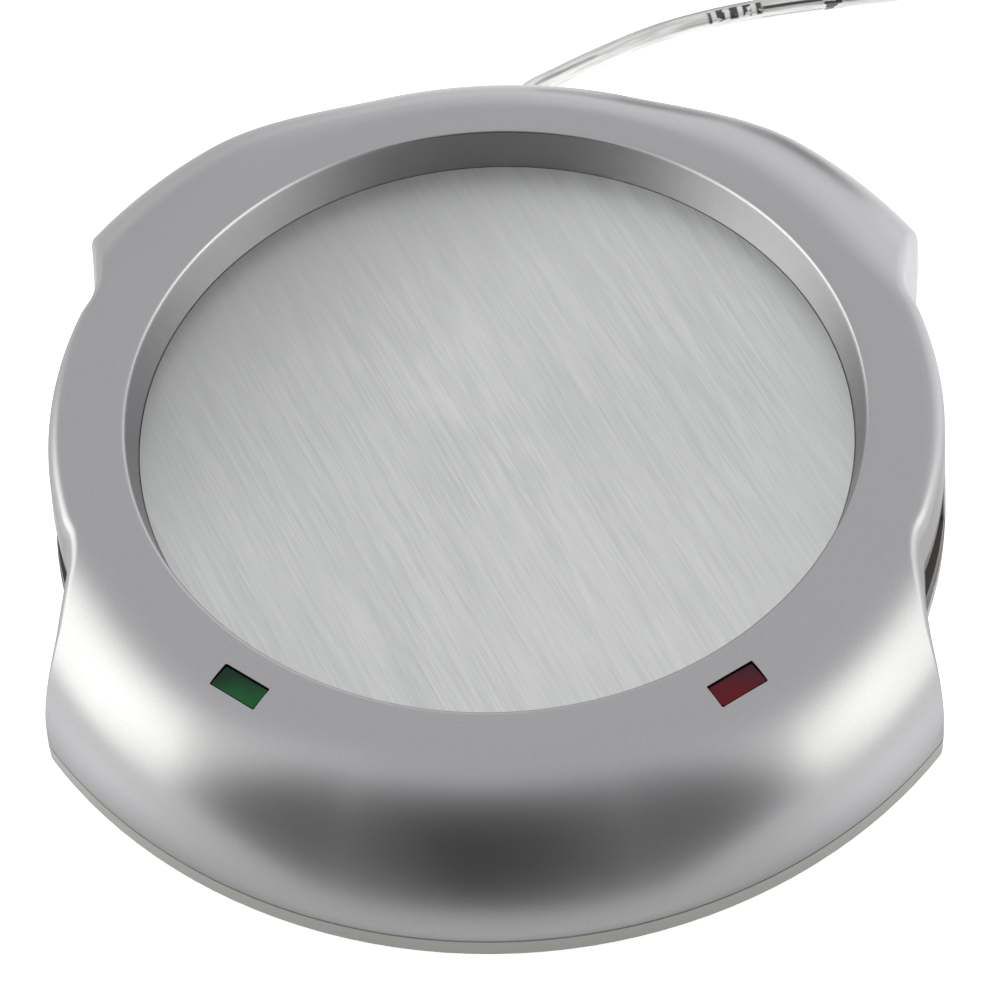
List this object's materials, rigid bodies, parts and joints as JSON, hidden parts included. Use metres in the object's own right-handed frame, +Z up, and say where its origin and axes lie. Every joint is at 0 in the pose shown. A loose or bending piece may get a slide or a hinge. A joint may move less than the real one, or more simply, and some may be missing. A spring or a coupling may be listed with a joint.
{
  "type": "electric mug warmer",
  "caption": "Desk mug warmer: silver ring housing with a round heated well, swept lobes, indicator windows, side USB ports and a rear cord.",
  "frame": {"origin": "on the table under the centre of the well, at the bottom centre of the housing without its cord", "axes": "+Z up, +Y to the rear where the cord leaves, +X to the right with the indicator windows in front"},
  "size_m": [0.1446, 0.2109, 0.0242],
  "materials": {
    "silver_paint": "satin silver paint over moulded plastic, very fine metal flake",
    "grey_plastic": "fine matt moulded texture, warm grey",
    "dark_plastic": "dark brown-grey moulded insert",
    "plate_metal": "fine straight brushing",
    "clamp_steel": "plain pressed sheet",
    "heater_film": "amber film over etched foil",
    "insulation": "felted mineral fibre",
    "cutout_case": "plain drawn can",
    "screw_steel": "zinc plated",
    "board_green": "solder mask over glass fibre",
    "chip_black": "moulded epoxy",
    "can_metal": "drawn can",
    "port_metal": "bright tin plate",
    "port_insulator": "white moulded insulator",
    "lens_green": "tinted clear green, polished",
    "lens_red": "tinted clear red, polished",
    "lamp_green": "tinted epoxy",
    "lamp_red": "tinted epoxy",
    "rubber": "soft black rubber",
    "lead_white": "silicone jacket",
    "lead_red": "plain jacket",
    "cord_jacket": "clear jacket over silver braid",
    "plug_grip": "satin moulded grip"
  },
  "bodies": {
    "warmer": {"board_screws": "screw_steel", "bottom_cover": "grey_plastic", "capacitors": "can_metal", "case_screws": "screw_steel", "clamp_screws": "screw_steel", "cord_coil": "cord_jacket", "cord_tail": "cord_jacket", "crystal_can": "can_metal", "green_led": "lamp_green", "green_lens": "lens_green", "heater_clamp": "clamp_steel", "heater_film": "heater_film", "heater_leads": "lead_white", "heater_switch": "can_metal", "heating_plate": "plate_metal", "hub_chip": "chip_black", "input_leads": "lead_red", "insulation_pad": "insulation", "led_board_left": "board_green", "led_board_right": "board_green", "led_screws": "screw_steel", "main_board": "board_green", "plug_blade": "port_insulator", "plug_body": "plug_grip", "plug_shell": "port_metal", "port_bezel_left": "dark_plastic", "port_bezel_right": "dark_plastic", "red_led": "lamp_red", "red_lens": "lens_red", "regulator": "chip_black", "rubber_feet": "rubber", "strain_relief": "dark_plastic", "switch_board": "board_green", "switch_leads": "lead_white", "thermal_cutout": "cutout_case", "top_cover": "silver_paint", "usb_blade_front_left": "port_insulator", "usb_blade_front_right": "port_insulator", "usb_blade_rear_left": "port_insulator", "usb_blade_rear_right": "port_insulator", "usb_cord": "cord_jacket", "usb_socket_front_left": "port_metal", "usb_socket_front_right": "port_metal", "usb_socket_rear_left": "port_metal", "usb_socket_rear_right": "port_metal"},
    "slider": {"switch_slider": "dark_plastic"}
  },
  "joints": [
    {"name": "heater_switch_slide", "type": "slide", "parent": "warmer", "child": "slider", "axis": [-0.9511, -0.309, 0], "range_m": [0, 0.0026]}
  ]
}
